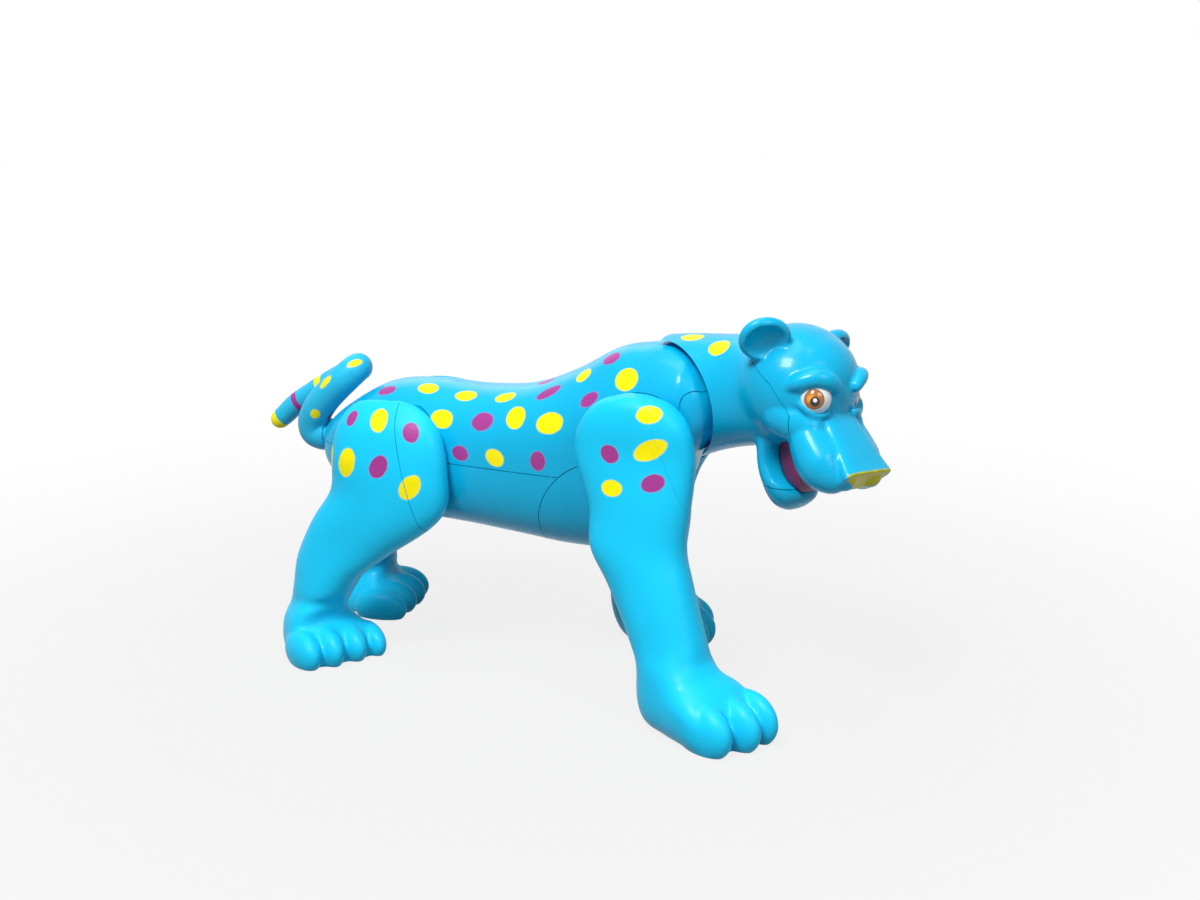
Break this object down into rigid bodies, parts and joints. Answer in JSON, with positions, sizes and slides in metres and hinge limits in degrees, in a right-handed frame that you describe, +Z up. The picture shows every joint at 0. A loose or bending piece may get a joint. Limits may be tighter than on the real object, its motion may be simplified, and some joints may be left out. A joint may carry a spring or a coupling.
{
  "type": "posable toy cheetah figure",
  "caption": "Posable moulded plastic toy cheetah with spots: a clamshell torso, swinging legs, a nodding neck with an open-mouthed head, and a swivelling looped tail.",
  "frame": {"origin": "middle of the figure's bounding box, on the ground under its paws", "axes": "+X forward along the body towards the head, +Y towards the animal's left, +Z up"},
  "size_m": [0.1279, 0.0588, 0.0704],
  "materials": {
    "body_gloss": "glossy moulded plastic, bright blue with printed yellow and purple spots",
    "leg_satin": "satin moulded plastic, bright blue with printed yellow and purple spots",
    "tail_satin": "satin moulded plastic, teal blue with printed yellow and purple bands",
    "mouth_plastic": "dark magenta plastic",
    "inner_plastic": "plain moulded plastic",
    "pin_steel": "plain drawn wire"
  },
  "bodies": {
    "torso": {"back_shell": "body_gloss", "belly_shell": "body_gloss", "chest_shell": "body_gloss", "neck_pin": "pin_steel"},
    "head": {"neck_yoke": "inner_plastic", "neck_right_shell": "body_gloss", "neck_left_shell": "body_gloss", "face_shell": "body_gloss", "jaw_shell": "body_gloss", "tongue": "mouth_plastic"},
    "front_right_leg": {"front_right_main": "leg_satin", "front_right_panel": "leg_satin", "front_right_pivot": "inner_plastic"},
    "front_left_leg": {"front_left_main": "leg_satin", "front_left_panel": "leg_satin", "front_left_pivot": "inner_plastic"},
    "rear_right_leg": {"rear_right_main": "leg_satin", "rear_right_panel": "leg_satin", "rear_right_pivot": "inner_plastic"},
    "rear_left_leg": {"rear_left_main": "leg_satin", "rear_left_panel": "leg_satin", "rear_left_pivot": "inner_plastic"},
    "tail": {"tail": "tail_satin"}
  },
  "joints": [
    {"name": "neck_nod", "type": "hinge", "parent": "torso", "child": "head", "pos_m": [0.02274, 0.00204, 0.052], "axis": [0, 1, 0], "range_deg": [-16, 0]},
    {"name": "front_right_swing", "type": "hinge", "parent": "torso", "child": "front_right_leg", "pos_m": [0.02094, -0.00756, 0.0445], "axis": [0, 1, 0], "range_deg": [-20, 40]},
    {"name": "front_left_swing", "type": "hinge", "parent": "torso", "child": "front_left_leg", "pos_m": [0.02094, 0.01164, 0.0445], "axis": [0, 1, 0], "range_deg": [-45, 15]},
    {"name": "rear_right_swing", "type": "hinge", "parent": "torso", "child": "rear_right_leg", "pos_m": [-0.02776, -0.00656, 0.0386], "axis": [0, 1, 0], "range_deg": [-25, 25]},
    {"name": "rear_left_swing", "type": "hinge", "parent": "torso", "child": "rear_left_leg", "pos_m": [-0.02776, 0.01064, 0.0386], "axis": [0, 1, 0], "range_deg": [-25, 25]},
    {"name": "tail_swivel", "type": "hinge", "parent": "torso", "child": "tail", "pos_m": [-0.04746, 0.00204, 0.0386], "axis": [1, 0, 0], "range_deg": [-25, 25]}
  ]
}
